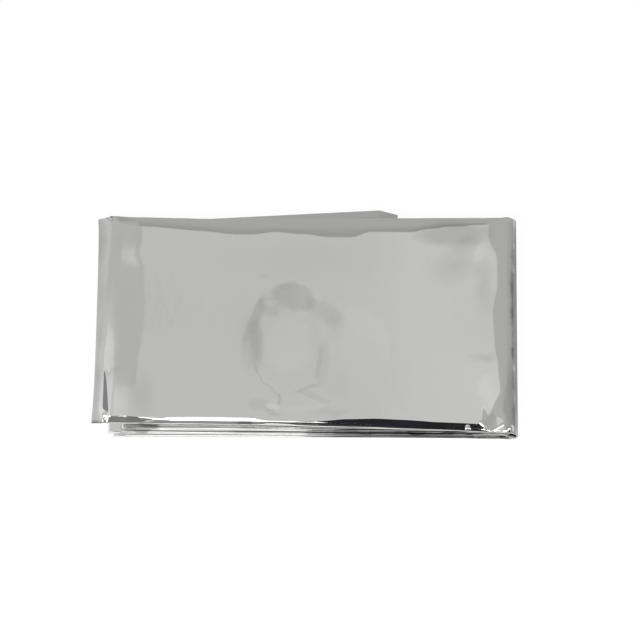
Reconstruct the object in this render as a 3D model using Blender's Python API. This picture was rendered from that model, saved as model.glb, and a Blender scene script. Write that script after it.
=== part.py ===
"""Emergency foil blanket, folded to a flat packet: one sheet of silver film, as one closed solid.

Twelve plies of film lie in a long strip. The solid is that strip at its loose thickness, folded to and
fro: the top pass runs right and wraps down round the whole right end, and the strip then goes back and
forth from the floor up, to the cut end that lies under the top pass.
Metres, +Z up, +X along the packet, -Y towards the folded near edge.
"""

import math

import bpy
from mathutils import Vector

# Driving dimensions
STRIP_WIDTH = 0.1333  # a 1.6 m sheet in twelve plies
LAYER = 0.0010  # loose thickness of the strip
PITCH = 0.0013  # from one pass of the strip to the next, where the packet is pressed flat
PUFF = 0.0036  # how far trapped air lifts the top pass in the middle
PUFF_FROM = 5  # the passes above this level share the lift

# How the lift fades out at the top pass's edges: over a short way, for most of it, and over a long way
NEAR_FAST = 0.0040
NEAR_SLOW = 0.0700
NEAR_SHARE = 0.66  # the share of the rise that is fast
FAR_FAST = 0.0120
FAR_FAST_WAVE = 0.25  # this fast rise widens and narrows by this share of itself
FAR_SLOW = 0.0600
FAR_SHARE = 0.75
LEFT_RISE = 0.0260
RIGHT_END = 0.1275  # the rise at the right starts in the wrap
RIGHT_FAST = 0.0140
RIGHT_SLOW = 0.0850
RIGHT_SHARE = 0.66

# Shallow swells and hollows in the lifted top: centre, half sizes in the plan, and rise
SWELLS = [
    dict(x=-0.0080, y=0.0640, half_x=0.0340, half_y=0.0420, rise=0.0009),
    dict(x=0.0950, y=0.1060, half_x=0.0300, half_y=0.0200, rise=-0.0003),
]

# The gathers where the film is pinched round the near right corner: centre, half sizes, and rise
GATHERS = [
    dict(x=0.1060, y=0.0050, half_x=0.0050, half_y=0.0050, rise=0.0006),
    dict(x=0.1205, y=0.0040, half_x=0.0050, half_y=0.0060, rise=0.0009),
]

# Plan of the packet, measured from a corner of its footprint box
LEFT_X = -0.1257  # where the strip starts, about the middle of its cut end
RIGHT_X = 0.1200  # where the outer wrap starts to turn down
FOOTPRINT_MIDDLE = Vector((0.00015, 0.0730, 0.0))
EDGE_RIPPLE = 0.0001  # how far the near edges wander

# A row for each pass, from the floor up: where its near and far edges lie at its left and right ends,
# and how far its near edge bows in
PASSES = [
    dict(near_left=0.0009, near_right=-0.0003, far_left=0.1337, far_right=0.1340, bow=0.0006),
    dict(near_left=0.0010, near_right=0.0000, far_left=0.1334, far_right=0.1339, bow=0.0006),
    dict(near_left=0.0024, near_right=0.0008, far_left=0.1344, far_right=0.1341, bow=-0.0004),
    dict(near_left=0.0025, near_right=0.0009, far_left=0.1348, far_right=0.1345, bow=-0.0004),
    dict(near_left=0.0036, near_right=0.0014, far_left=0.1358, far_right=0.1347, bow=0.0000),
    dict(near_left=0.0039, near_right=0.0017, far_left=0.1361, far_right=0.1351, bow=0.0000),
    dict(near_left=0.0062, near_right=0.0012, far_left=0.1370, far_right=0.1350, bow=0.0000),
    dict(near_left=0.0060, near_right=0.0165, far_left=0.1370, far_right=0.1504, bow=0.0000),
    dict(near_left=0.0056, near_right=0.0000, far_left=0.1400, far_right=0.1405, bow=0.0020),
]

# How much further out the top pass's far edge lies: places along X, and how far
FAR_STRAYS = [
    (-0.1240, 0.0004),
    (-0.1160, 0.0020),
    (-0.1030, 0.0012),
    (-0.0760, 0.0005),
    (-0.0600, 0.0000),
    (0.0400, 0.0001),
    (0.1235, 0.0010),
]

# A row for each fold, in the order of the strip: the passes that it joins, the side of the packet it is
# on, where its bend is centred, how far it reaches from there, and how far that end slants
FOLDS = [
    dict(leaves=8, joins=0, side=1, bend_x=0.1200, reach=0.0077, slant=0.0000),
    dict(leaves=0, joins=1, side=-1, bend_x=-0.1132, reach=0.0006, slant=-0.0010),
    dict(leaves=1, joins=2, side=1, bend_x=0.1205, reach=0.0006, slant=0.0008),
    dict(leaves=2, joins=3, side=-1, bend_x=-0.1174, reach=0.0006, slant=0.0012),
    dict(leaves=3, joins=4, side=1, bend_x=0.1222, reach=0.0006, slant=0.0000),
    dict(leaves=4, joins=5, side=-1, bend_x=-0.1090, reach=0.0006, slant=0.0010),
    dict(leaves=5, joins=6, side=1, bend_x=0.1208, reach=0.0006, slant=-0.0012),
    dict(leaves=6, joins=7, side=-1, bend_x=-0.1102, reach=0.0006, slant=0.0020),
]
WRAP_FULLNESS = 0.4  # the outer wrap is fullest near the floor: its sine is raised to this there

# The top pass's cut ends at the left: places across the strip, and the X there. The lower plies stick
# out as a ledge, up to where the upper plies begin
LOWER_END = [
    (0.0000, -0.1276),
    (0.0140, -0.1268),
    (0.0340, -0.1258),
    (0.0670, -0.1250),
    (0.1200, -0.1242),
    (0.1340, -0.1246),
]
UPPER_END = [(0.0060, -0.1209), (0.0380, -0.1203), (0.1400, -0.1155)]
LEDGE = dict(width=0.0060, thickness_left=0.40, set_back=0.0)

# The plies' cut ends under the top pass lie in steps: how far each step runs, the share of the strip's
# thickness left there, and how far its far edge stands back
END_STEPS = [
    dict(end_x=0.0441, thickness_left=1.00, set_back=0.0000),
    dict(end_x=0.0470, thickness_left=0.70, set_back=0.0010),
    dict(end_x=0.0515, thickness_left=0.45, set_back=0.0020),
    dict(end_x=0.0555, thickness_left=0.25, set_back=0.0032),
]
STEP_FACE = 0.0002  # how far each step's face leans over

# Fineness of the mesh
FOLD_TURNS = 6
WRAP_TURNS = 12
ROUNDING_TURNS = 2
FLAT_SHARES = (0.0, 0.03, 0.12, 0.3, 0.5, 0.7, 0.88, 0.97, 1.0)
TOP_SHARES = (0.0, 0.02, 0.05, 0.1, 0.18, 0.28, 0.36, 0.42, 0.5, 0.56, 0.62, 0.72, 0.82)
TOP_SHARES += (0.88, 0.91, 0.93, 0.95, 0.97, 0.985, 1.0)
ACROSS_SHARES = (0.012, 0.025, 0.04, 0.055, 0.12, 0.22, 0.36, 0.5, 0.6, 0.7, 0.8, 0.87, 0.92, 0.96, 0.98)


def blend(start, end, share):
    return start + (end - start) * share


def eased(share):
    """0 to 1 on a quarter sine: steep at the edge, level at the top."""
    return math.sin(math.pi / 2 * min(max(share, 0.0), 1.0))


def between_points(points, place):
    """A value that runs straight from point to point, and is level beyond the first and the last."""
    for (start, value), (end, next_value) in zip(points, points[1:]):
        if place < end:
            return blend(value, next_value, max(place - start, 0.0) / (end - start))
    return points[-1][1]


def edges_at(row, x):
    """The near and far edge of a pass at x."""
    level = PASSES.index(row)
    along = (x - LEFT_X) / (RIGHT_X - LEFT_X)
    near = blend(row["near_left"], row["near_right"], along)
    near += row["bow"] * math.sin(math.pi * min(max(along, 0.0), 1.0))
    near += EDGE_RIPPLE * math.sin(math.tau * (1.5 + 0.4 * level) * along + 1.7 * level)
    far = blend(row["far_left"], row["far_right"], along)
    if level == len(PASSES) - 1:
        far += between_points(FAR_STRAYS, x)
    return near, far


def mound(row, x, y):
    """A smooth bump over a row's ellipse in the plan: 1 at its centre, 0 from its edge outwards."""
    reach = ((x - row["x"]) / row["half_x"]) ** 2 + ((y - row["y"]) / row["half_y"]) ** 2
    return (1 - min(reach, 1.0)) ** 2


def lift_at(x, y):
    """How much of the puff there is at a place in the plan, from 0 at the edges to 1."""
    near, far = edges_at(PASSES[-1], x)
    along = (x - LEFT_X) / (RIGHT_X - LEFT_X)
    far_fast = FAR_FAST * (1 + FAR_FAST_WAVE * math.sin(math.tau * 2.5 * along - 1.0))
    right = RIGHT_END - x
    return (
        blend(eased((y - near) / NEAR_SLOW), eased((y - near) / NEAR_FAST), NEAR_SHARE)
        * blend(eased((far - y) / FAR_SLOW), eased((far - y) / far_fast), FAR_SHARE)
        * eased((x - between_points(UPPER_END, y)) / LEFT_RISE)
        * blend(eased(right / RIGHT_SLOW), eased(right / RIGHT_FAST), RIGHT_SHARE)
    )


def height(level, x, y):
    """Height of a level, counted in passes from the floor, at a place in the plan."""
    floor_gap = (1 - LAYER / PITCH) / 2
    share = max(0.0, (level - PUFF_FROM) / (len(PASSES) - PUFF_FROM))
    flat_height = (level - floor_gap) * PITCH
    raised = 0.0
    if level > len(PASSES) - 1:
        raised = sum(row["rise"] * mound(row, x, y) for row in GATHERS + SWELLS)
    return flat_height + PUFF * share * lift_at(x, y) + raised


def placed(x, level, near, far, across):
    y = blend(near, far, across)
    return Vector((x, y, height(level, x, y))) - FOOTPRINT_MIDDLE


def section():
    """The strip's cross-section as (share of its width, share of its half thickness) pairs, all round."""
    edge = LAYER / 2 / STRIP_WIDTH
    turns = [math.pi / 2 * step / ROUNDING_TURNS for step in range(1, ROUNDING_TURNS + 1)]
    near_edge = [(edge * (1 - math.sin(turn)), math.cos(turn)) for turn in reversed(turns)]
    near_edge[0] = (0.0, 0.0)
    far_edge = [(1 - share, lift) for share, lift in reversed(near_edge)]
    flat = [(edge, 1.0)] + [(share, 1.0) for share in ACROSS_SHARES] + [(1 - edge, 1.0)]
    upper = near_edge + flat + far_edge
    return upper + [(share, -lift) for share, lift in reversed(upper[1:-1])]


def faces_up(level):
    """Whether the strip's outer side, which is on top in the top pass, faces up in this pass."""
    return level == len(PASSES) - 1 or level % 2 == 1


def straight_ring(level, from_x, to_x, share, end_step=None):
    """A ring of points round the strip in a flat pass, at a share of the way between the pass's two ends."""
    row = PASSES[level]
    up = 1 if faces_up(level) else -1
    ring = []
    for across, lift in section():
        x = blend(from_x(across), to_x(across), share)
        near, far = edges_at(row, x)
        if end_step:
            far -= end_step["set_back"]
            lift = blend(-1.0, lift, end_step["thickness_left"])
        middle = level + 0.5
        ring.append(placed(x, middle + up * lift * LAYER / PITCH / 2, near, far, across))
    return ring


def fold_ring(fold, turn):
    """A ring of points round the strip in a fold, at a turn from 0 to pi."""
    leaves, joins = fold["leaves"], fold["joins"]
    way = 1 if joins > leaves else -1
    outer = 1 if (fold["side"] < 0 or way < 0) else -1
    middle = (leaves + joins + 1) / 2
    half = abs(joins - leaves) / 2
    share = (1 - math.cos(turn)) / 2
    out = math.sin(turn) ** (WRAP_FULLNESS if way < 0 and turn > math.pi / 2 else 1.0)
    ring = []
    for across, lift in section():
        swell = outer * lift * LAYER / 2
        x = end_of(fold)(across) + fold["side"] * (fold["reach"] + swell) * out
        level = middle - way * (half + swell / PITCH) * math.cos(turn)
        left_near, left_far = edges_at(PASSES[leaves], x)
        next_near, next_far = edges_at(PASSES[joins], x)
        near, far = blend(left_near, next_near, share), blend(left_far, next_far, share)
        ring.append(placed(x, level, near, far, across))
    return ring


def end_of(fold):
    """Where the bend is centred, at a share of the strip's width."""
    return lambda across: fold["bend_x"] + fold["slant"] * (0.5 - across)


def top_end(across):
    return between_points(LOWER_END, across * STRIP_WIDTH)


def ledge_end(across):
    return between_points(UPPER_END, across * STRIP_WIDTH)


def pass_rings(level, from_x, to_x, shares):
    return [straight_ring(level, from_x, to_x, share) for share in shares]


def ledge_rings(level):
    """The plies that stick out at the top pass's cut end."""
    face = STEP_FACE / LEDGE["width"]
    return [straight_ring(level, top_end, ledge_end, share, LEDGE) for share in (0.0, 1 - face)]


def cut_end_rings(level, from_x):
    """The last pass, up to the plies' ends in their steps."""
    rings = []
    for number, step in enumerate(END_STEPS):
        to_x = lambda across, end_x=step["end_x"]: end_x
        shares = FLAT_SHARES
        if number > 0:
            length = step["end_x"] - from_x(0.5)
            step_length = step["end_x"] - END_STEPS[number - 1]["end_x"] - STEP_FACE
            shares = (1 - step_length / length, 1.0)
        rings += [straight_ring(level, from_x, to_x, share, step) for share in shares]
    return rings


def strip_rings():
    """Rings along the whole strip, from the top pass's cut end to the steps under it."""
    rings = ledge_rings(len(PASSES) - 1)
    from_x = ledge_end
    for fold in FOLDS:
        wraps = fold["leaves"] > fold["joins"]
        shares = TOP_SHARES if wraps else FLAT_SHARES
        rings += pass_rings(fold["leaves"], from_x, end_of(fold), shares)
        turns = WRAP_TURNS if wraps else FOLD_TURNS
        rings += [fold_ring(fold, math.pi * step / turns) for step in range(1, turns)]
        from_x = end_of(fold)
    return rings + cut_end_rings(FOLDS[-1]["joins"], from_x)


def skinned(name, rings):
    """A closed mesh object through the rings, capped at both ends."""
    around = len(rings[0])
    points = [point for ring in rings for point in ring]
    faces = []
    for along in range(len(rings) - 1):
        for corner in range(around):
            following = (corner + 1) % around
            here, there = along * around, (along + 1) * around
            faces.append((here + corner, there + corner, there + following, here + following))
    faces.append(tuple(range(around)))
    faces.append(tuple(reversed(range(len(points) - around, len(points)))))
    mesh = bpy.data.meshes.new(name)
    mesh.from_pydata(points, [], faces)
    mesh.validate()
    return bpy.data.objects.new(name, mesh)


def foil_material():
    material = bpy.data.materials.new("silver_film")
    material.use_nodes = True
    shader = material.node_tree.nodes["Principled BSDF"]
    shader.inputs["Base Color"].default_value = (0.78, 0.78, 0.77, 1.0)
    shader.inputs["Metallic"].default_value = 1.0
    shader.inputs["Roughness"].default_value = 0.12
    return material


def main():
    for obj in list(bpy.data.objects):
        bpy.data.objects.remove(obj)
    blanket = skinned("foil_blanket", strip_rings())
    blanket.data.materials.append(foil_material())
    bpy.context.scene.collection.objects.link(blanket)
    blanket.data.shade_smooth()
    blanket.data.set_sharp_from_angle(angle=math.radians(40))


main()
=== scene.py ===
import math
import time

import bpy
import numpy as np
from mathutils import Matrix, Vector


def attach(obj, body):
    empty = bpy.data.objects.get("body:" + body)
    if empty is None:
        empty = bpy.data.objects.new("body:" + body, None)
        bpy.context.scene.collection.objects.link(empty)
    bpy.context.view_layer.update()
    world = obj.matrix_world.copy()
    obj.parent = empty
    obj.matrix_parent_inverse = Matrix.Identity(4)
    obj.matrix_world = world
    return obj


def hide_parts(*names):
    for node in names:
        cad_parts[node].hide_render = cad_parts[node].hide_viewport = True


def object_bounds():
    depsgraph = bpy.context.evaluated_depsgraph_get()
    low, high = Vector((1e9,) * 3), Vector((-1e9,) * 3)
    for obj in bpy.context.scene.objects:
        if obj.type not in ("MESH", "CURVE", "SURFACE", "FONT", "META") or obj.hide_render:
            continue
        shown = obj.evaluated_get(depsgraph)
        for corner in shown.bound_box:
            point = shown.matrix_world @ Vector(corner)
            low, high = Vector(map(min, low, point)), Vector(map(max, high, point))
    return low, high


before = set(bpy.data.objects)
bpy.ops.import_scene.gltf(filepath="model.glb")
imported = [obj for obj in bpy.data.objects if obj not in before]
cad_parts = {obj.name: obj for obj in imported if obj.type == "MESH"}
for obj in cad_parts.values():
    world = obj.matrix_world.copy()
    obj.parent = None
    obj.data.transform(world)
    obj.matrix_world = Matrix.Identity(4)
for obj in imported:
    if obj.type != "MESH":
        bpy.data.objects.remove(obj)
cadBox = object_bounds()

# An emergency blanket: one sheet of silver film, folded in twelve across its width, and the strip then
# folded to and fro along its length. Metres, +X along the packet, -Y towards the near edge.

startTime = time.time()


def report(stage):
    print(f"[{time.time() - startTime:5.1f} s] {stage}")


# the folded packet: x is measured from about its middle, and y from its near edge
packet = dict(
    strip=0.1333,        # twelve plies of the film's width
    layer=0.0010,        # loose thickness of the strip
    pitch=0.0013,        # from one pass of the strip to the next
    leftX=-0.1257,       # where the strip starts, about the middle of its cut end
    rightX=0.1200,       # where the outer wrap starts to turn down
    middleX=0.00015,     # middle of the footprint
    middleY=0.0730,
    ripple=0.0001,       # how far the near edges wander, in waves that differ from pass to pass
    waves=1.5,
    moreWaves=0.4,
    firstWave=1.7,
    wrapFullness=0.4,    # below 1 the outer wrap is fuller near the floor than a half circle
    reliefLevel=7.9,     # the film above this level, counted in passes, carries the relief of the top
    reliefBlend=0.2,
)

# where each pass's near and far edges lie at its left and right ends, from the floor up
passes = [
    dict(nearLeft=0.0009, nearRight=-0.0003, farLeft=0.1337, farRight=0.1390, bow=0.0006),
    dict(nearLeft=0.0010, nearRight=0.0000, farLeft=0.1334, farRight=0.1339, bow=0.0006),
    dict(nearLeft=0.0024, nearRight=0.0008, farLeft=0.1344, farRight=0.1341, bow=-0.0004),
    dict(nearLeft=0.0025, nearRight=0.0009, farLeft=0.1348, farRight=0.1345, bow=-0.0004),
    dict(nearLeft=0.0036, nearRight=0.0014, farLeft=0.1358, farRight=0.1347, bow=0.0000),
    dict(nearLeft=0.0039, nearRight=0.0017, farLeft=0.1361, farRight=0.1351, bow=0.0000),
    dict(nearLeft=0.0062, nearRight=0.0012, farLeft=0.1370, farRight=0.1350, bow=0.0000),
    dict(nearLeft=0.0060, nearRight=0.0165, farLeft=0.1370, farRight=0.1504, bow=0.0000),
    dict(nearLeft=0.0056, nearRight=-0.0008, farLeft=0.1400, farRight=0.1405, bow=0.0013),
]
topPass = len(passes) - 1

# the turns from one pass to another, in the order of the strip
turns = [
    dict(leaves=8, joins=0, side=1, bendX=0.1212, reach=0.0064, slant=0.0000),
    dict(leaves=0, joins=1, side=-1, bendX=-0.1132, reach=0.0006, slant=-0.0010),
    dict(leaves=1, joins=2, side=1, bendX=0.1205, reach=0.0006, slant=0.0008),
    dict(leaves=2, joins=3, side=-1, bendX=-0.1174, reach=0.0006, slant=0.0012),
    dict(leaves=3, joins=4, side=1, bendX=0.1222, reach=0.0006, slant=0.0000),
    dict(leaves=4, joins=5, side=-1, bendX=-0.1090, reach=0.0006, slant=0.0010),
    dict(leaves=5, joins=6, side=1, bendX=0.1208, reach=0.0006, slant=-0.0012),
    dict(leaves=6, joins=7, side=-1, bendX=-0.1102, reach=0.0006, slant=0.0020),
]

# how much further out the top pass's far edge lies along the way
farStrays = [
    dict(at=-0.1240, out=0.0004),
    dict(at=-0.1160, out=0.0020),
    dict(at=-0.1030, out=0.0012),
    dict(at=-0.0760, out=0.0005),
    dict(at=-0.0600, out=0.0000),
    dict(at=0.0400, out=0.0001),
    dict(at=0.1180, out=0.0003),
    dict(at=0.1235, out=0.0010),
]

# the cut ends under the top pass: a corner is missing at the far edge, and the inner plies reach further
lastEnd = dict(x=0.0555, cornerX=0.0118, cornerY=0.0034, creep=0.0002)

# where the plies of the top pass are cut at the left, the lower ones and the upper ones
lowerEnds = [
    dict(at=0.0000, x=-0.1276),
    dict(at=0.0140, x=-0.1268),
    dict(at=0.0340, x=-0.1258),
    dict(at=0.0670, x=-0.1250),
    dict(at=0.1000, x=-0.1245),
    dict(at=0.1200, x=-0.1242),
    dict(at=0.1340, x=-0.1246),
]
upperEnds = [
    dict(at=0.0060, x=-0.1209),
    dict(at=0.0380, x=-0.1203),
    dict(at=0.1400, x=-0.1155),
]

# at the left end the lower plies stick out as a ledge, which falls away a little beside a soft ridge
ledge = dict(
    level=4.5,           # the ledge is the plies below this level
    aslant=0.0045,       # this close to the far edge all the plies are cut aslant instead
    aslantBlend=0.0020,
    ridgeX=-0.1222,
    outerFall=0.020,
    innerFall=0.004,
    nearFall=0.3,        # the share of the fall at the near edge, and how far in it has grown to all of it
    growsOver=0.11,
    blend=0.0020,        # the fall ends within this much of the upper plies' ends
)

# the level in the strip of each ply along the film's width: in three, then in half, and in half again
plyLevels = [0, 11, 6, 5, 4, 7, 10, 1, 2, 9, 8, 3]
topPly = 11

# how the air in the top pass lifts it; each edge has a fast rise, and a slow one further in
puff = dict(
    height=0.0036,
    fromPass=5,          # the passes above this one share the lift
    nearShare=0.62,      # how the inner part rises from the near edge: fast, and then slowly
    nearFast=0.0034,
    nearSlow=0.0700,
    nearBlend=0.0140,    # the near facet runs into the inner part over this much
    nearCorner=0.12,     # how round the top of the near facet is, and of its foot
    footCorner=0.16,
    farFast=0.75,
    farSlow=0.0600,
    leftFast=0.62,       # the near left corner stands up from the ledge, more and more between these
    leftFastFrom=0.0420,
    leftFastTo=0.0090,
    leftSteep=0.0034,    # how much wider than its least width that steep rise gets, and how round its top is
    leftLeast=0.0004,
    leftCorner=0.15,
    leftFoot=0.0054,     # elsewhere the left end rises in three slopes: to here, leftRises and leftSlow
    leftSlow=0.0850,
    leftBlend=0.0008,    # how far to either side they are evened out
    leftLifts=[0.0, 0.14, 0.50, 1.0],
    leftNearLifts=[0.0, 0.62, 0.74, 1.0],
    leftNearFrom=0.0700,  # from this y towards the near edge the lifts turn into the near ones
    rightFast=0.66,
    rightEnd=0.1275,     # the fast rise at the right starts in the wrap
    rightSlow=0.0850,
    rightWider=0.0050,   # the slow one gets this much wider towards the far edge
    rightWiderFrom=0.055,
    rightWiderOver=0.05,
)

# how wide the fast rise is along the far edge
farRises = [
    dict(at=-0.1257, width=0.0050),
    dict(at=-0.1050, width=0.0070),
    dict(at=-0.0930, width=0.0074),
    dict(at=-0.0620, width=0.0096),
    dict(at=-0.0430, width=0.0120),
    dict(at=-0.0320, width=0.0123),
    dict(at=-0.0180, width=0.0105),
    dict(at=0.0000, width=0.0122),
    dict(at=0.0160, width=0.0146),
    dict(at=0.0280, width=0.0147),
    dict(at=0.0400, width=0.0106),
    dict(at=0.0640, width=0.0109),
    dict(at=0.0760, width=0.0084),
    dict(at=0.0880, width=0.0068),
    dict(at=0.1120, width=0.0052),
]
# along the near edge: how wide the facet is and its share of the whole rise, and how wide its steep foot is
# and that one's share of the facet
nearRises = [
    dict(at=-0.1190, width=0.0040, share=0.62, footWidth=0.0038, foot=0.96),
    dict(at=-0.1060, width=0.0046, share=0.62, footWidth=0.0038, foot=0.86),
    dict(at=-0.0975, width=0.0040, share=0.62, footWidth=0.0029, foot=0.76),
    dict(at=-0.0880, width=0.0037, share=0.62, footWidth=0.0021, foot=0.62),
    dict(at=-0.0740, width=0.0035, share=0.62, footWidth=0.0013, foot=0.46),
    dict(at=-0.0600, width=0.0038, share=0.62, footWidth=0.0016, foot=0.48),
    dict(at=-0.0330, width=0.0039, share=0.62, footWidth=0.0018, foot=0.50),
    dict(at=-0.0210, width=0.0015, share=0.60, footWidth=0.0011, foot=0.60),
    dict(at=-0.0120, width=0.0017, share=0.59, footWidth=0.0012, foot=0.60),
    dict(at=0.0080, width=0.0028, share=0.58, footWidth=0.0018, foot=0.60),
    dict(at=0.0270, width=0.0048, share=0.60, footWidth=0.0016, foot=0.50),
    dict(at=0.0450, width=0.0057, share=0.64, footWidth=0.0014, foot=0.45),
    dict(at=0.0630, width=0.0055, share=0.62, footWidth=0.0010, foot=0.40),
    dict(at=0.0810, width=0.0046, share=0.60, footWidth=0.0010, foot=0.40),
    dict(at=0.1065, width=0.0050, share=0.60, footWidth=0.0010, foot=0.40),
    dict(at=0.1108, width=0.0026, share=0.26, footWidth=0.0012, foot=0.50),
    dict(at=0.1150, width=0.0026, share=0.12, footWidth=0.0012, foot=0.50),
]
# where the second slope at the left ends, and how wide the fast rise is at the right
leftRises = [
    dict(at=0.0180, x=-0.1000),
    dict(at=0.0450, x=-0.1008),
    dict(at=0.0620, x=-0.0990),
    dict(at=0.0760, x=-0.0978),
    dict(at=0.0920, x=-0.0980),
    dict(at=0.1050, x=-0.0985),
    dict(at=0.1165, x=-0.1010),
    dict(at=0.1270, x=-0.0994),
]
rightRises = [
    dict(at=0.0060, width=0.0220),
    dict(at=0.0140, width=0.0165),
    dict(at=0.0260, width=0.0105),
    dict(at=0.0430, width=0.0118),
    dict(at=0.0560, width=0.0140),
    dict(at=0.0770, width=0.0150),
    dict(at=0.0960, width=0.0118),
    dict(at=0.1120, width=0.0122),
    dict(at=0.1270, width=0.0183),
]

# a flat blister in the middle: where its top ends and its foot begins, round its middle
blister = dict(
    x=-0.0087,
    y=0.0512,
    height=0.0002,       # at its middle
    lean=0.0090,         # it is higher towards the far side
    least=0.0002,        # below this height it thins out without a step
    corner=0.12,         # how round the edge of its top is
    spread=7,            # the outline is evened out over this many degrees to either side
    outline=[
        dict(turn=-170, top=0.0200, foot=0.0290),
        dict(turn=-152, top=0.0220, foot=0.0300),
        dict(turn=-140, top=0.0265, foot=0.0310),
        dict(turn=-50, top=0.0260, foot=0.0500),
        dict(turn=-17, top=0.0176, foot=0.0600),
        dict(turn=18, top=0.0225, foot=0.0600),
        dict(turn=35, top=0.0245, foot=0.0500),
        dict(turn=52, top=0.0245, foot=0.0405),
        dict(turn=70, top=0.0235, foot=0.0395),
        dict(turn=84, top=0.0240, foot=0.0435),
        dict(turn=97, top=0.0262, foot=0.0460),
        dict(turn=108, top=0.0285, foot=0.0430),
        dict(turn=118, top=0.0300, foot=0.0400),
        dict(turn=128, top=0.0275, foot=0.0345),
        dict(turn=155, top=0.0195, foot=0.0290),
    ],
)

# broad dents in the top
dents = [
    dict(x=0.0950, y=0.1060, halfX=0.0300, halfY=0.0200, depth=0.00020),
]

# creases: steep on the left of their way, and gentle on the right
creases = [
    dict(fromX=0.1060, fromY=0.0050, toX=0.1119, toY=-0.0004, rise=0.00060, steep=0.0012, gentle=0.0012),
    dict(fromX=0.1119, fromY=-0.0002, toX=0.1200, toY=0.0048, rise=0.00045, steep=0.0016, gentle=0.0010),
]

# small gathers of film that stand up from it
gathers = [
    dict(x=0.1232, y=0.0020, halfX=0.0034, halfY=0.0040, rise=0.0018),
    dict(x=-0.1206, y=0.0116, halfX=0.0032, halfY=0.0062, farHalfY=0.0012, rise=0.0015),
    dict(x=0.0978, y=0.0014, halfX=0.0014, halfY=0.0024, rise=0.0004),
]


def mix(start, end, share):
    return start + (end - start) * share


def clamp(value, low=0.0, high=1.0):
    return np.minimum(np.maximum(value, low), high)


def eased(share):
    return np.sin(math.pi / 2 * clamp(share))


def smooth(share):
    share = clamp(share)
    return share * share * (3 - 2 * share)


def fromRows(rows, place, key):
    # a value that runs smoothly from row to row
    value = np.full_like(place, rows[0][key])
    for row, following in zip(rows, rows[1:]):
        share = smooth((place - row["at"]) / (following["at"] - row["at"]))
        value = np.where(place > row["at"], mix(row[key], following[key], share), value)
    return value


def mound(row, x, y):
    halfY = np.where(y > row["y"], row.get("farHalfY", row["halfY"]), row["halfY"])
    reach = ((x - row["x"]) / row["halfX"]) ** 2 + ((y - row["y"]) / halfY) ** 2
    return (1 - clamp(reach)) ** 2


def alongPacket(x):
    return (x - packet["leftX"]) / (packet["rightX"] - packet["leftX"])


def edgesAt(level, x):
    row = passes[level]
    along = alongPacket(x)
    waves = packet["waves"] + packet["moreWaves"] * level
    ripple = packet["ripple"] * np.sin(math.tau * waves * along + packet["firstWave"] * level)
    near = mix(row["nearLeft"], row["nearRight"], along)
    near = near + row["bow"] * np.sin(math.pi * clamp(along)) + ripple
    far = mix(row["farLeft"], row["farRight"], along)
    stray = fromRows(farStrays, x, "out") if level == topPass else 0.0
    return near, far + stray


def straight(share, corner):
    # a straight rise from 0 to 1, its top corner rounded off
    share = np.maximum(share, 0.0)
    rounding = clamp((share - 1 + corner) / (2 * corner))
    return np.where(share < 1 - corner, share, 1 - corner * (1 - rounding) ** 2)


def bent(place, places, values):
    # a line that bends at each of the places
    value = 0.0
    for start, end, low, high in zip(places, places[1:], values, values[1:]):
        value = value + (high - low) * clamp((place - start) / (end - start))
    return value


def outlineAt(turn, key):
    rows, spread = blister["outline"], blister["spread"]
    bearings, values = [row["turn"] for row in rows], [row[key] for row in rows]
    return sum(np.interp(turn + side, bearings, values, period=360) for side in (-spread, 0, spread)) / 3


def blisterAt(x, y):
    across, along = x - blister["x"], y - blister["y"]
    away, turn = np.hypot(across, along), np.degrees(np.arctan2(along, across))
    top, foot = outlineAt(turn, "top"), outlineAt(turn, "foot")
    share = straight(clamp((foot - away) / (foot - top), 0.0, 2.0), blister["corner"])
    tall, least = blister["height"] + blister["lean"] * along, blister["least"]
    tall = np.where(tall > least, tall, least * np.exp(np.minimum(tall / least - 1, 0.0)))
    return tall * share


def creaseAt(row, x, y):
    wayX, wayY = row["toX"] - row["fromX"], row["toY"] - row["fromY"]
    length = math.hypot(wayX, wayY)
    wayX, wayY = wayX / length, wayY / length
    along = (x - row["fromX"]) * wayX + (y - row["fromY"]) * wayY
    left = (y - row["fromY"]) * wayX - (x - row["fromX"]) * wayY
    across = np.where(left > 0, 1 - left / row["steep"], 1 + left / row["gentle"])
    end = np.maximum(np.maximum(-along, along - length), 0.0) / row["steep"]
    return row["rise"] * np.maximum(across, 0.0) * clamp(1 - end)


def nearLift(x, inside):
    # the facet with its steep foot, and behind it the inner part
    slow = eased(inside / puff["nearSlow"])
    width, share = fromRows(nearRises, x, "width"), fromRows(nearRises, x, "share")
    fast = straight(inside / width, puff["nearCorner"])
    foot = straight(inside / fromRows(nearRises, x, "footWidth"), puff["footCorner"])
    facet = mix(slow, mix(fast, foot, fromRows(nearRises, x, "foot")), share)
    inner = mix(slow, straight(inside / puff["nearFast"], puff["nearCorner"]), puff["nearShare"])
    return mix(facet, inner, smooth((inside - width) / puff["nearBlend"]))


def farLift(x, inside):
    slow = eased(inside / puff["farSlow"])
    fast = eased(inside / fromRows(farRises, x, "width"))
    return mix(slow, fast, puff["farFast"])


def leftLift(x, y):
    end = fromRows(upperEnds, y, "x")
    byCorner = clamp((puff["leftFastFrom"] - y) / (puff["leftFastFrom"] - puff["leftFastTo"]))
    byNear = clamp((puff["leftNearFrom"] - y) / (puff["leftNearFrom"] - puff["leftFastTo"]))
    fast = straight((x - end) / (puff["leftSteep"] * byCorner + puff["leftLeast"]), puff["leftCorner"])
    places = [0.0, puff["leftFoot"], fromRows(leftRises, y, "x") - end, puff["leftSlow"]]
    lifts = [mix(usual, near, byNear) for usual, near in zip(puff["leftLifts"], puff["leftNearLifts"])]
    blend = puff["leftBlend"]
    slow = sum(bent(x - end + step, places, lifts) for step in (-blend, 0.0, blend)) / 3
    return mix(slow, fast, puff["leftFast"] * byCorner)


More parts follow.
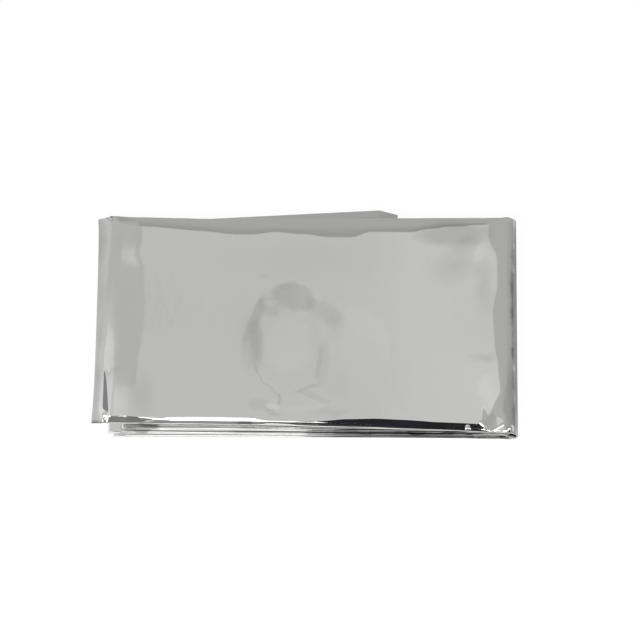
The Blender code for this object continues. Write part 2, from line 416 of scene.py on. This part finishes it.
def rightLift(x, y):
    inside = puff["rightEnd"] - x
    wider = puff["rightWider"] * smooth((y - puff["rightWiderFrom"]) / puff["rightWiderOver"])
    slow = eased(inside / (puff["rightSlow"] + wider))
    fast = eased(inside / fromRows(rightRises, y, "width"))
    return mix(slow, fast, puff["rightFast"])


def liftAt(x, y):
    near, far = edgesAt(topPass, x)
    return nearLift(x, y - near) * farLift(x, far - y) * leftLift(x, y) * rightLift(x, y)


def ledgeFallAt(x, y):
    beside = x - ledge["ridgeX"]
    fall = np.maximum(-beside * ledge["outerFall"], beside * ledge["innerFall"])
    onLedge = clamp((fromRows(upperEnds, y, "x") + ledge["blend"] - x) / ledge["blend"])
    return fall * onLedge * mix(ledge["nearFall"], 1, clamp(y / ledge["growsOver"]))


def reliefAt(x, y):
    sunk = sum(row["depth"] * mound(row, x, y) for row in dents)
    creased = sum(creaseAt(row, x, y) for row in creases)
    gathered = sum(row["rise"] * mound(row, x, y) for row in gathers)
    return blisterAt(x, y) - sunk - ledgeFallAt(x, y) + creased + gathered


def heightAt(level, x, y):
    floorGap = (1 - packet["layer"] / packet["pitch"]) / 2
    share = clamp((level - puff["fromPass"]) / (len(passes) - puff["fromPass"]), 0.0, 2.0)
    lift = puff["height"] * share * liftAt(x, y)
    relief = smooth((level - packet["reliefLevel"]) / packet["reliefBlend"]) * reliefAt(x, y)
    return (level - floorGap) * packet["pitch"] + lift + relief


# the film's own grid: columns, side by side across its width, and stations, along its length
grid = dict(
    topStep=0.0011,      # column spacing over the top ply
    topEdgeStep=0.0004,  # and close to its near edge
    topEdge=0.0100,
    plyShares=[0.0, 0.015, 0.08, 0.2, 0.35, 0.525, 0.7, 0.85, 0.94, 0.9745, 1.0],   # over the other plies
    bendSteps=4,         # the most steps round a bend between two plies
    outerBendSteps=10,   # and the steps round the outermost one
    alongStep=0.0012,    # station spacing along the top pass
    endStep=0.0006,      # and close to its ends
    leftEnd=0.0120,
    rightEnd=0.0330,
    coarseEvery=7,       # every seventh of those stations runs on through the plies below
    wrapSteps=35,        # stations round the outer wrap
    passSteps=34,        # along each other pass
    turnSteps=6,         # and round each other turn
)


def spaced(start, end, step):
    count = max(1, round(abs(end - start) / step))
    return [mix(start, end, number / count) for number in range(count)]


def topShares():
    strip = packet["strip"]
    edge = grid["topEdge"] / strip
    return spaced(0, edge, grid["topEdgeStep"] / strip) + spaced(edge, 1, grid["topStep"] / strip) + [1.0]


def plyColumns(level, towardsFar):
    # across is 0 at the strip's near edge and 1 at its far edge; fine columns are in the top ply only
    edge = packet["layer"] / 2 / packet["strip"]
    shares = topShares() if level == topPly else grid["plyShares"]
    shares = shares if towardsFar else shares[::-1]
    inward = min(level, topPly - level)   # how many plies lie outside this one
    columns = []
    for place, share in enumerate(shares):
        fine = level == topPly and 0 < place < len(shares) - 1
        columns.append(dict(across=mix(edge, 1 - edge, share), level=level, inward=inward, fine=fine))
    return columns


def bendColumns(level, following, towardsFar, inward):
    # the film bends over from one ply to the next one
    edge = packet["layer"] / 2 / packet["strip"]
    plyPitch = packet["layer"] / topPly / packet["strip"]
    span = abs(following - level)
    outer = span == topPly
    steps = grid["outerBendSteps"] if outer else min(2 + span // 2, grid["bendSteps"])
    columns = []
    for step in range(1, steps):
        turn = math.pi * step / steps
        out = span / 2 * plyPitch * math.sin(turn)
        across = 1 - edge + out if towardsFar else edge - out
        between = mix(level, following, (1 - math.cos(turn)) / 2)
        inward = mix(inward, min(following, topPly - following), 0.5)
        columns.append(dict(across=across, level=between, inward=inward, fine=outer))
    return columns


def filmColumns():
    columns = []
    for number, level in enumerate(plyLevels):
        towardsFar = number % 2 == 1
        columns += plyColumns(level, towardsFar)
        if number + 1 < len(plyLevels):
            columns += bendColumns(level, plyLevels[number + 1], towardsFar, columns[-1]["inward"])
    return columns


def topStations():
    length = packet["rightX"] - packet["leftX"]
    left, right = grid["leftEnd"] / length, 1 - grid["rightEnd"] / length
    fine, broad = grid["endStep"] / length, grid["alongStep"] / length
    return spaced(0, left, fine) + spaced(left, right, broad) + spaced(right, 1, fine)


def passStations(level, before, after, shares):
    return [dict(level=level, before=before, after=after, share=share) for share in shares]


def filmStations():
    stations, steps = [], grid["passSteps"]
    shares = [step / steps for step in range(steps)]
    for before, turn in zip([None] + turns, turns):
        stations += passStations(turn["leaves"], before, turn, shares if before else topStations())
        turnSteps = grid["turnSteps"] if before else grid["wrapSteps"]
        stations += [dict(turn=turn, angle=math.pi * step / turnSteps) for step in range(turnSteps)]
        if not before:
            lastTop = len(stations)
    stations += passStations(turns[-1]["joins"], turns[-1], None, shares + [1.0])
    for number, station in enumerate(stations):
        station["fine"] = number < lastTop and number % grid["coarseEvery"] != 0
    return stations, lastTop


def bendX(turn, across):
    return turn["bendX"] + turn["slant"] * (0.5 - across)


def cutX(level, across):
    y = across * packet["strip"]
    above = clamp(level - ledge["level"] + 0.5)
    aslant = smooth((y - packet["strip"] + ledge["aslant"]) / ledge["aslantBlend"])
    return mix(fromRows(lowerEnds, y, "x"), fromRows(upperEnds, y, "x"), mix(above, level / topPly, aslant))


def placed(x, passLevel, near, far, across):
    y = mix(near, far, across)
    z = heightAt(passLevel, x, y)
    return np.stack([x - packet["middleX"], y - packet["middleY"], z], axis=-1)


def flatPoints(station, across, level, inward):
    number = station["level"]
    up = 1 if number == topPass or number % 2 == 1 else -1
    before, after = station["before"], station["after"]
    fromX = bendX(before, across) if before else cutX(level, across)
    corner = clamp(1 - (1 - across) * packet["strip"] / lastEnd["cornerY"])
    endX = lastEnd["x"] - lastEnd["cornerX"] * corner + lastEnd["creep"] * inward
    toX = bendX(after, across) if after else endX
    x = mix(fromX, toX, station["share"])
    near, far = edgesAt(number, x)
    half = packet["layer"] / packet["pitch"] / 2
    return placed(x, number + 0.5 + up * (2 * level / topPly - 1) * half, near, far, across)


def turnPoints(station, across, level):
    turn, angle = station["turn"], station["angle"]
    leaves, joins = turn["leaves"], turn["joins"]
    way = 1 if joins > leaves else -1
    outer = 1 if turn["side"] < 0 or way < 0 else -1
    swell = outer * (2 * level / topPly - 1) * packet["layer"] / 2
    nearFloor = leaves == topPass and angle > math.pi / 2
    out = math.sin(angle) ** (packet["wrapFullness"] if nearFloor else 1.0)
    x = bendX(turn, across) + turn["side"] * (turn["reach"] + swell) * out
    half = abs(joins - leaves) / 2
    passLevel = (leaves + joins + 1) / 2 - way * (half + swell / packet["pitch"]) * math.cos(angle)
    share = (1 - math.cos(angle)) / 2
    leavesNear, leavesFar = edgesAt(leaves, x)
    joinsNear, joinsFar = edgesAt(joins, x)
    return placed(x, passLevel, mix(leavesNear, joinsNear, share), mix(leavesFar, joinsFar, share), across)


def stationPoints(station, across, level, inward):
    if "turn" in station:
        return turnPoints(station, across, level)
    return flatPoints(station, across, level, inward)


def filmPoints(columns, stations, lastTop, coarse, topOnly):
    across = np.array([column["across"] for column in columns])
    level = np.array([column["level"] for column in columns], float)
    inward = np.array([column["inward"] for column in columns], float)
    points, index = [], {}
    for row, station in enumerate(stations):
        used = coarse
        if row <= lastTop:
            used = topOnly if station["fine"] else list(range(len(columns)))
        for column, point in zip(used, stationPoints(station, across[used], level[used], inward[used])):
            index[row, column] = len(points)
            points.append(point)
    return np.array(points).tolist(), index


def filmFaces(index, stations, lastTop, coarse, firstFine, lastFine):
    # small squares in the top ply; elsewhere large ones, which take in the points along their sides
    coarseRows = [row for row, station in enumerate(stations) if not station["fine"]]
    faces = []
    for row, nextRow in zip(coarseRows, coarseRows[1:]):
        for column, nextColumn in zip(coarse, coarse[1:]):
            inTop = nextRow <= lastTop
            inFine = firstFine <= column and nextColumn <= lastFine
            if inTop and inFine:
                for a in range(row, nextRow):
                    for b in range(column, nextColumn):
                        faces.append((index[a, b], index[a, b + 1], index[a + 1, b + 1], index[a + 1, b]))
                continue
            lowSide = range(column, nextColumn) if inFine and row <= lastTop else [column]
            rightSide = range(row, nextRow) if inTop and nextColumn == firstFine else [row]
            highSide = range(nextColumn, column, -1) if inFine and nextRow <= lastTop else [nextColumn]
            leftSide = range(nextRow, row, -1) if inTop and column == lastFine else [nextRow]
            corners = [(row, b) for b in lowSide] + [(a, nextColumn) for a in rightSide]
            corners += [(nextRow, b) for b in highSide] + [(a, column) for a in leftSide]
            faces.append([index[corner] for corner in corners])
    return faces


def foldedFilm():
    columns = filmColumns()
    stations, lastTop = filmStations()
    coarse = [number for number, column in enumerate(columns) if not column["fine"]]
    fine = [number for number, column in enumerate(columns) if column["fine"]]
    firstFine, lastFine = fine[0] - 1, fine[-1] + 1
    topOnly = list(range(firstFine, lastFine + 1))
    points, index = filmPoints(columns, stations, lastTop, coarse, topOnly)
    faces = filmFaces(index, stations, lastTop, coarse, firstFine, lastFine)
    mesh = bpy.data.meshes.new("foilFilm")
    mesh.from_pydata(points, [], faces)
    mesh.validate()
    mesh.shade_smooth()
    folded = bpy.data.objects.new("foilFilm", mesh)
    bpy.context.scene.collection.objects.link(folded)
    return folded


class NodeMaths:
    # writes sums as shader nodes; each value is a number, a vector or another node's output
    def __init__(self, tree):
        self.nodes, self.links = tree.nodes, tree.links

    def fill(self, sockets, values):
        for socket, value in zip(sockets, values):
            if isinstance(value, bpy.types.NodeSocket):
                self.links.new(value, socket)
            else:
                socket.default_value = value

    def use(self, operation, *values, kind="ShaderNodeMath"):
        node = self.nodes.new(kind)
        node.operation = operation
        self.fill(node.inputs, values)
        return node.outputs[0]

    def between(self, value, low, high):
        # 0 below low, 1 above high, eased in between; low may be the greater
        node = self.nodes.new("ShaderNodeMapRange")
        node.interpolation_type = "SMOOTHSTEP"
        node.inputs["From Min"].default_value = low
        node.inputs["From Max"].default_value = high
        self.links.new(value, node.inputs["Value"])
        return node.outputs[0]

    def mix(self, start, end, share):
        node = self.nodes.new("ShaderNodeMix")
        node.data_type = "FLOAT"
        self.fill((node.inputs[0], node.inputs[2], node.inputs[3]), (share, start, end))
        return node.outputs[0]


filmLook = dict(
    colour=(0.84, 0.84, 0.826),
    roughness=0.06,
    wrinkleScale=160.0,
    wrinkleDetail=3.0,
    wrinkleDepth=0.00002,
    paintedLightScale=70.0,      # the edges of the places of painted light and shade are uneven
    paintedLightDetail=4.0,
    paintedLightStray=0.009,
)

# painted light and shade on the film, darker and lighter places that stand in for its reflections: the
# middle, half widths and turn in degrees of each, how much of the way in its edge is soft, and how much it
# adds; a few have a height and half height as well
paintedLightSpots = [
    # painted shade and highlights on the blister and round it
    dict(x=-0.0060, y=0.0868, halfX=0.0160, halfY=0.0112, turn=-14, soft=0.4, shade=-0.16),
    dict(x=0.0125, y=0.0770, halfX=0.0175, halfY=0.0095, turn=-36, soft=0.7, shade=-0.11),
    dict(x=-0.0215, y=0.0800, halfX=0.0085, halfY=0.0090, turn=20, soft=0.6, shade=-0.10),
    dict(x=0.0180, y=0.0680, halfX=0.0085, halfY=0.0150, turn=10, soft=0.9, shade=-0.05),
    dict(x=-0.0310, y=0.0570, halfX=0.0095, halfY=0.0260, soft=0.9, shade=-0.12),
    dict(x=-0.0280, y=0.0570, halfX=0.0056, halfY=0.0185, turn=2, soft=0.6, shade=-0.08),
    dict(x=-0.0110, y=0.0640, halfX=0.0560, halfY=0.0520, soft=1.0, shade=-0.05),
    dict(x=-0.0085, y=0.0550, halfX=0.0170, halfY=0.0235, soft=0.4, shade=0.05),
    dict(x=-0.0200, y=0.0830, halfX=0.0048, halfY=0.0028, turn=10, soft=0.6, shade=0.06),
    dict(x=0.0115, y=0.0430, halfX=0.0045, halfY=0.0190, turn=-4, soft=0.6, shade=-0.06),
    dict(x=0.0095, y=0.0450, halfX=0.0022, halfY=0.0130, turn=-6, soft=0.4, shade=-0.05),
    dict(x=0.0018, y=0.0270, halfX=0.0112, halfY=0.0022, turn=22, soft=0.5, shade=-0.09),
    dict(x=0.0060, y=0.0215, halfX=0.0130, halfY=0.0026, turn=-22, soft=0.4, shade=-0.06),
    dict(x=0.0190, y=0.0290, halfX=0.0120, halfY=0.0150, soft=1.0, shade=-0.035),
    # painted shade and a painted highlight of fine creases below it, in a line
    dict(x=-0.0287, y=0.0400, halfX=0.0014, halfY=0.0042, soft=0.5, shade=-0.08),
    dict(x=-0.0274, y=0.0350, halfX=0.0062, halfY=0.0012, turn=-66, soft=0.5, shade=-0.11),
    dict(x=-0.0231, y=0.0283, halfX=0.0052, halfY=0.0011, turn=-47, soft=0.5, shade=-0.10),
    dict(x=-0.0186, y=0.0236, halfX=0.0048, halfY=0.0011, turn=-39, soft=0.5, shade=-0.10),
    dict(x=-0.0160, y=0.0195, halfX=0.0013, halfY=0.0042, soft=0.4, shade=-0.13),
    dict(x=-0.0265, y=0.0340, halfX=0.0066, halfY=0.0026, turn=-58, soft=1.0, shade=0.03),
    # painted shade and highlights between them and the near edge
    dict(x=-0.0280, y=0.0170, halfX=0.0085, halfY=0.0050, soft=0.7, shade=-0.09),
    dict(x=-0.0195, y=0.0124, halfX=0.0075, halfY=0.0016, turn=-18, soft=0.5, shade=-0.10),
    dict(x=-0.0195, y=0.0155, halfX=0.0062, halfY=0.0021, turn=-8, soft=0.5, shade=0.10),
    dict(x=0.0150, y=0.0120, halfX=0.0140, halfY=0.0028, turn=4, soft=0.6, shade=-0.06),
    dict(x=0.0000, y=0.0145, halfX=0.0190, halfY=0.0018, turn=2, soft=0.6, shade=0.04),
    # painted shade towards the far edge
    dict(x=-0.0243, y=0.1005, halfX=0.0040, halfY=0.0022, soft=0.9, shade=-0.07),
    dict(x=0.0000, y=0.1120, halfX=0.0900, halfY=0.0220, soft=1.0, shade=-0.04),
    dict(x=0.0900, y=0.1290, halfX=0.0300, halfY=0.0105, turn=2, soft=0.6, shade=-0.20),
    dict(x=0.0980, y=0.1215, halfX=0.0140, halfY=0.0070, turn=12, soft=0.8, shade=-0.10),
    dict(x=0.0930, y=0.1075, halfX=0.0190, halfY=0.0150, soft=1.0, shade=-0.12),
    dict(x=-0.1050, y=0.1265, halfX=0.0110, halfY=0.0085, soft=0.4, shade=-0.03),
    dict(x=-0.1240, y=0.1240, halfX=0.0060, halfY=0.0220, soft=0.8, shade=-0.12),
    # painted shade and highlights by the wrap
    dict(x=0.1085, y=0.0950, halfX=0.0090, halfY=0.0260, soft=1.0, shade=-0.11),
    dict(x=0.1060, y=0.1160, halfX=0.0040, halfY=0.0100, turn=-14, soft=0.7, shade=0.06),
    dict(x=0.1080, y=0.0480, halfX=0.0120, halfY=0.0046, soft=1.0, shade=-0.12),
    dict(x=0.1095, y=0.0260, halfX=0.0080, halfY=0.0150, turn=4, soft=0.7, shade=0.07),
    dict(x=0.1145, y=0.0120, halfX=0.0085, halfY=0.0100, soft=0.8, shade=0.05),
    dict(x=0.1236, y=0.0150, halfX=0.0048, halfY=0.0360, soft=0.5, shade=-0.20),
    dict(x=0.1112, y=0.0072, halfX=0.0034, halfY=0.0084, soft=0.6, shade=-0.12),
    dict(x=0.1300, y=0.0700, halfX=0.0062, halfY=0.1200, soft=0.5, shade=-0.60),
    # painted highlights and shade by the cut ends
    dict(x=-0.1170, y=0.0190, halfX=0.0190, halfY=0.0260, turn=-8, soft=1.0, shade=0.19),
    dict(x=-0.1252, y=0.0600, halfX=0.0054, halfY=0.1200, turn=-2, soft=0.6, shade=-0.09),
    dict(x=-0.1050, y=0.1165, halfX=0.0090, halfY=0.0040, soft=1.0, shade=0.03),
    dict(x=-0.1193, y=0.0480, halfX=0.0090, halfY=0.0560, turn=-2, soft=0.8, shade=0.18),
    dict(x=-0.1262, y=0.0240, halfX=0.0080, halfY=0.0500, soft=1.0, shade=0.04),
    dict(x=-0.0975, y=0.0230, halfX=0.0120, halfY=0.0240, soft=1.0, shade=-0.10),
    # painted shade along the near edge, on the stack of folds
    dict(
        x=-0.0990, y=0.0050, z=0.0062, halfX=0.0135, halfY=0.0040, halfZ=0.0050,
        turn=2, soft=0.3, shade=-0.48,
    ),
    dict(x=0.0620, y=0.0000, halfX=0.0640, halfY=0.0036, turn=-1, soft=0.8, shade=-0.35),
    dict(x=0.0850, y=0.0010, z=0.0055, halfX=0.0750, halfY=0.0050, halfZ=0.0013, soft=0.7, shade=-0.60),
    dict(x=0.1110, y=0.0000, z=0.0018, halfX=0.0150, halfY=0.0050, halfZ=0.0022, soft=0.6, shade=-0.55),
]


# one spot of painted light and shade: a soft ellipse that adds its shade to the film's colour factor
def paintedLightSpotAt(nodes, links, place, row):
    spot = nodes.new("ShaderNodeMapping")
    spot.vector_type = "TEXTURE"
    middle = (row["x"] - packet["middleX"], row["y"] - packet["middleY"], row.get("z", 0.0))
    spot.inputs["Location"].default_value = middle
    spot.inputs["Rotation"].default_value = (0.0, 0.0, math.radians(row.get("turn", 0)))
    spot.inputs["Scale"].default_value = (row["halfX"], row["halfY"], row.get("halfZ", 1.0))
    links.new(place, spot.inputs["Vector"])
    ball = nodes.new("ShaderNodeTexGradient")
    ball.gradient_type = "SPHERICAL"
    links.new(spot.outputs[0], ball.inputs["Vector"])
    fade = nodes.new("ShaderNodeMapRange")
    fade.interpolation_type = "SMOOTHSTEP"
    fade.inputs["From Max"].default_value = row["soft"]
    fade.inputs["To Max"].default_value = row["shade"]
    links.new(ball.outputs["Fac"], fade.inputs["Value"])
    return fade.outputs[0]


def noiseAt(nodes, links, place, scale, detail):
    noise = nodes.new("ShaderNodeTexNoise")
    noise.inputs["Scale"].default_value = scale
    noise.inputs["Detail"].default_value = detail
    links.new(place, noise.inputs["Vector"])
    return noise


def filmMaterial():
    material = bpy.data.materials.new("silverFilm")
    material.use_nodes = True
    nodes, links = material.node_tree.nodes, material.node_tree.links
    maths = NodeMaths(material.node_tree)
    shader = nodes["Principled BSDF"]
    shader.inputs["Metallic"].default_value = 1.0
    shader.inputs["Roughness"].default_value = filmLook["roughness"]
    place = nodes.new("ShaderNodeTexCoord").outputs["Object"]

    wrinkles = noiseAt(nodes, links, place, filmLook["wrinkleScale"], filmLook["wrinkleDetail"])
    bump = nodes.new("ShaderNodeBump")
    bump.inputs["Strength"].default_value = 1.0
    bump.inputs["Distance"].default_value = filmLook["wrinkleDepth"]
    links.new(wrinkles.outputs["Fac"], bump.inputs["Height"])
    links.new(bump.outputs["Normal"], shader.inputs["Normal"])

    stray = noiseAt(nodes, links, place, filmLook["paintedLightScale"], filmLook["paintedLightDetail"]).outputs["Color"]
    kind, width = "ShaderNodeVectorMath", filmLook["paintedLightStray"]
    moved = maths.use("MULTIPLY_ADD", stray, (width,) * 3, place, kind=kind)
    centred = maths.use("SUBTRACT", moved, (width / 2,) * 3, kind=kind)
    # the painted light and shade of all the spots, summed into one factor on the film's colour
    brightness = 1.0
    for row in paintedLightSpots:
        brightness = maths.use("ADD", paintedLightSpotAt(nodes, links, centred, row), brightness)
    colour = nodes.new("ShaderNodeVectorMath")
    colour.operation = "SCALE"
    colour.inputs[0].default_value = filmLook["colour"]
    links.new(brightness, colour.inputs["Scale"])
    links.new(colour.outputs[0], shader.inputs["Base Color"])
    return material


# the studio: a light tent all round, a white floor, lamps and the camera
studio = dict(
    brightness=1.07,     # of the tent and the panels together
    backdrop=1.0,        # what the camera sees of the tent
    floor=0.92,
    floorRoughness=0.9,
    floorSize=24.0,
    floorSeen=0.93,      # the share of the floor's look that is an even white to the camera
    floorWhite=1.03,
)

# the parts of the tent that the film mirrors: each starts with one light, and every further row brings in
# another, or an earlier part, from start to end along x, y or z of a unit direction
tentParts = dict(
    right=[
        dict(light=0.44),
        dict(light=0.37, along="x", start=0.38, end=1.0),         # low down
    ],
    left=[
        dict(light=0.56),
        dict(light=0.66, along="y", start=0.43, end=0.36),        # nearer
        dict(light=0.20, along="x", start=-0.48, end=-0.56),      # low down
    ],
    stripOfPanel=[
        dict(light=0.57),
        dict(light=0.65, along="y", start=0.40, end=0.34),        # nearer
    ],
    besidePanel=[
        dict(light=0.477),
        dict(light=0.53, along="y", start=0.405, end=0.375),      # nearer
    ],
    # a broad light panel over and behind the packet, and what lies on either side of it
    panel=[
        dict(light=0.555),
        dict(light=0.60, along="x", start=0.0, end=0.03),
        dict(light="stripOfPanel", along="x", start=0.04, end=0.055),
        dict(light="besidePanel", along="x", start=-0.062, end=-0.078),
        dict(light="left", along="x", start=-0.18, end=-0.24),
        dict(light="right", along="x", start=0.092, end=0.108),
    ],
    above=[
        dict(light=0.61),
        dict(light="right", along="x", start=0.09, end=0.11),
        dict(light=0.20, along="x", start=-0.48, end=-0.56),      # low down on the left
    ],
    front=[
        dict(light=0.050),
        dict(light=0.015, along="z", start=0.4, end=0.6),         # higher up
        dict(light=0.48, along="x", start=-0.25, end=-0.35),      # on the left
        dict(light=0.42, along="x", start=0.35, end=0.50),        # on the right
    ],
    tent=[
        dict(light=0.345),                                        # the dark frame behind the panel
        dict(light=0.425, along="y", start=0.52, end=0.90),       # the wall at the back
        dict(light=0.45, along="x", start=-0.08, end=-0.16),      # its left
        dict(light=0.435, along="x", start=0.03, end=0.09),       # its right
        dict(light=0.41, along="z", start=0.70, end=0.30),        # its foot
        dict(light="panel", along="y", start=0.488, end=0.472),
        dict(light="above", along="y", start=0.25, end=0.15),
        dict(light="front", along="y", start=-0.01, end=-0.03),
    ],
)

# panels that stand in front of the packet, high up: their sides, the elevations of their edges as seen from
# the packet's near top edge, and how strong the blue in their light is
panels = [
    dict(name="softbox", left=-0.112, right=0.000, low=62.0, high=86.0, light=3.0, blue=1.0),
    dict(name="softboxLeft", left=-0.121, right=-0.112, low=73.0, high=88.0, light=3.0, blue=1.0),
    dict(name="softboxCorner", left=-0.300, right=-0.185, low=73.0, high=88.0, light=3.0, blue=1.0),
    dict(name="cardTop", left=-0.185, right=-0.121, low=73.0, high=88.0, light=0.20, blue=1.0),
    dict(name="softboxFoot", left=-0.112, right=0.014, low=50.0, high=62.0, light=2.6, blue=1.0),
    dict(name="card", left=-0.500, right=-0.112, low=45.0, high=73.0, light=0.17, blue=1.0),
    dict(name="cardFoot", left=-0.500, right=-0.112, low=8.0, high=45.0, light=0.50, blue=1.0),
    dict(name="lowCard", left=-0.112, right=-0.050, low=8.0, high=50.0, light=0.26, blue=1.0),
    dict(name="lowCardRight", left=-0.050, right=-0.005, low=8.0, high=50.0, light=0.11, blue=1.0),
    dict(name="darkCard", left=0.016, right=0.070, low=50.0, high=86.0, light=0.004, blue=4.0),
    dict(name="cornerCard", left=0.108, right=0.450, low=55.0, high=83.0, light=2.2, blue=1.0),
]
panelDistance = 0.35     # how far the panels stand from there

# a broad lamp that shines on the floor, and does not show in the film
keyLamp = dict(x=-0.9, y=-0.9, z=1.1, size=0.5, energy=9.0)

view = dict(
    elevation=66.3,
    scale=0.0006,        # metres for each pixel at the packet
    imageWidth=640,
    distance=6.0,
    sensor=36.0,
    middleColumn=304.5,  # where the packet's middle, and its near edge at the floor, lie in the frame
    nearRow=439.5,
    clipStart=0.1,
    clipEnd=60.0,
)


def tentLight(maths, directions):
    lights = {}
    for name, rows in tentParts.items():
        light = rows[0]["light"]
        for row in rows[1:]:
            share = maths.between(directions[row["along"]], row["start"], row["end"])
            light = maths.mix(light, lights.get(row["light"], row["light"]), share)
        lights[name] = light
    return lights["tent"]


def lightTent():
    world = bpy.data.worlds.new("lightTent")
    bpy.context.scene.world = world
    world.use_nodes = True
    tree = world.node_tree
    tree.nodes.clear()
    maths = NodeMaths(tree)
    direction = tree.nodes.new("ShaderNodeTexCoord")
    parts = tree.nodes.new("ShaderNodeSeparateXYZ")
    tree.links.new(direction.outputs["Generated"], parts.inputs[0])
    tent = tentLight(maths, dict(zip("xyz", parts.outputs)))
    tent = maths.use("MULTIPLY", tent, studio["brightness"])
    rays = tree.nodes.new("ShaderNodeLightPath")
    seen = maths.mix(tent, studio["backdrop"], rays.outputs["Is Camera Ray"])
    background = tree.nodes.new("ShaderNodeBackground")
    tree.links.new(seen, background.inputs["Color"])
    output = tree.nodes.new("ShaderNodeOutputWorld")
    tree.links.new(background.outputs[0], output.inputs[0])


def floorPaper():
    half = studio["floorSize"] / 2
    mesh = bpy.data.meshes.new("floor")
    corners = [(-half, -half, 0), (half, -half, 0), (half, half, 0), (-half, half, 0)]
    mesh.from_pydata(corners, [], [(0, 1, 2, 3)])
    floor = bpy.data.objects.new("floor", mesh)
    bpy.context.scene.collection.objects.link(floor)
    material = bpy.data.materials.new("floorPaper")
    material.use_nodes = True
    nodes, links = material.node_tree.nodes, material.node_tree.links
    shader = nodes["Principled BSDF"]
    shader.inputs["Base Color"].default_value = (studio["floor"],) * 3 + (1.0,)
    shader.inputs["Roughness"].default_value = studio["floorRoughness"]
    white = nodes.new("ShaderNodeEmission")
    white.inputs["Strength"].default_value = studio["floorWhite"]
    seen = nodes.new("ShaderNodeLightPath").outputs["Is Camera Ray"]
    share = NodeMaths(material.node_tree).use("MULTIPLY", seen, studio["floorSeen"])
    both = nodes.new("ShaderNodeMixShader")
    links.new(share, both.inputs[0])
    links.new(shader.outputs[0], both.inputs[1])
    links.new(white.outputs[0], both.inputs[2])
    links.new(both.outputs[0], nodes["Material Output"].inputs["Surface"])
    mesh.materials.append(material)


def lampAt(name, light, place, towards):
    lamp = bpy.data.objects.new(name, light)
    lamp.location = place
    lamp.rotation_mode = "QUATERNION"
    lamp.rotation_quaternion = (place - towards).to_track_quat("Z", "Y")
    lamp.visible_camera = False
    bpy.context.scene.collection.objects.link(lamp)
    return lamp


def lightPanels():
    for panel in panels:
        low, high = math.radians(panel["low"]), math.radians(panel["high"])
        middle = (low + high) / 2
        light = bpy.data.lights.new(panel["name"], "AREA")
        light.shape = "RECTANGLE"
        light.size = panel["right"] - panel["left"]
        light.size_y = 2 * panelDistance * math.tan((high - low) / 2)
        light.energy = studio["brightness"] * panel["light"] * math.pi * light.size * light.size_y
        light.color = (1.0, 1.0, panel["blue"])
        towards = Vector(((panel["left"] + panel["right"]) / 2, cadBox[0].y, cadBox[1].z))
        back = Vector((0.0, -math.cos(middle), math.sin(middle)))
        lampAt(panel["name"], light, towards + back * panelDistance, towards)


def keyLight():
    light = bpy.data.lights.new("key", "AREA")
    light.shape = "DISK"
    light.size = keyLamp["size"]
    light.energy = keyLamp["energy"]
    place = Vector((keyLamp["x"], keyLamp["y"], keyLamp["z"]))
    lamp = lampAt("key", light, place, Vector((0.0, 0.0, 0.0)))
    lamp.visible_glossy = False


def camera():
    data = bpy.data.cameras.new("camera")
    cam = bpy.data.objects.new("camera", data)
    bpy.context.scene.collection.objects.link(cam)
    elevation = math.radians(view["elevation"])
    back = Vector((0.0, -math.cos(elevation), math.sin(elevation)))
    up = Vector((0.0, math.sin(elevation), math.cos(elevation)))
    half = view["imageWidth"] / 2
    centre = Vector((0.0, cadBox[0].y, 0.0))
    centre += up * (view["nearRow"] - half) * view["scale"]
    centre += Vector((1, 0, 0)) * (half - view["middleColumn"]) * view["scale"]
    cam.location = centre + back * view["distance"]
    cam.rotation_mode = "QUATERNION"
    cam.rotation_quaternion = (-back).to_track_quat("-Z", "Y")
    data.sensor_width = view["sensor"]
    data.lens = view["sensor"] * view["distance"] / (view["imageWidth"] * view["scale"])
    data.clip_start = view["clipStart"]
    data.clip_end = view["clipEnd"]
    bpy.context.scene.camera = cam


blanket = foldedFilm()
report(f"film folded: {len(blanket.data.vertices)} points, {len(blanket.data.polygons)} faces")
blanket.data.materials.append(filmMaterial())
report("film finished")
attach(blanket, "root")
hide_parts("foil_blanket")
lightTent()
floorPaper()
lightPanels()
keyLight()
camera()
bpy.context.scene.view_settings.view_transform = "Standard"
report("studio set")
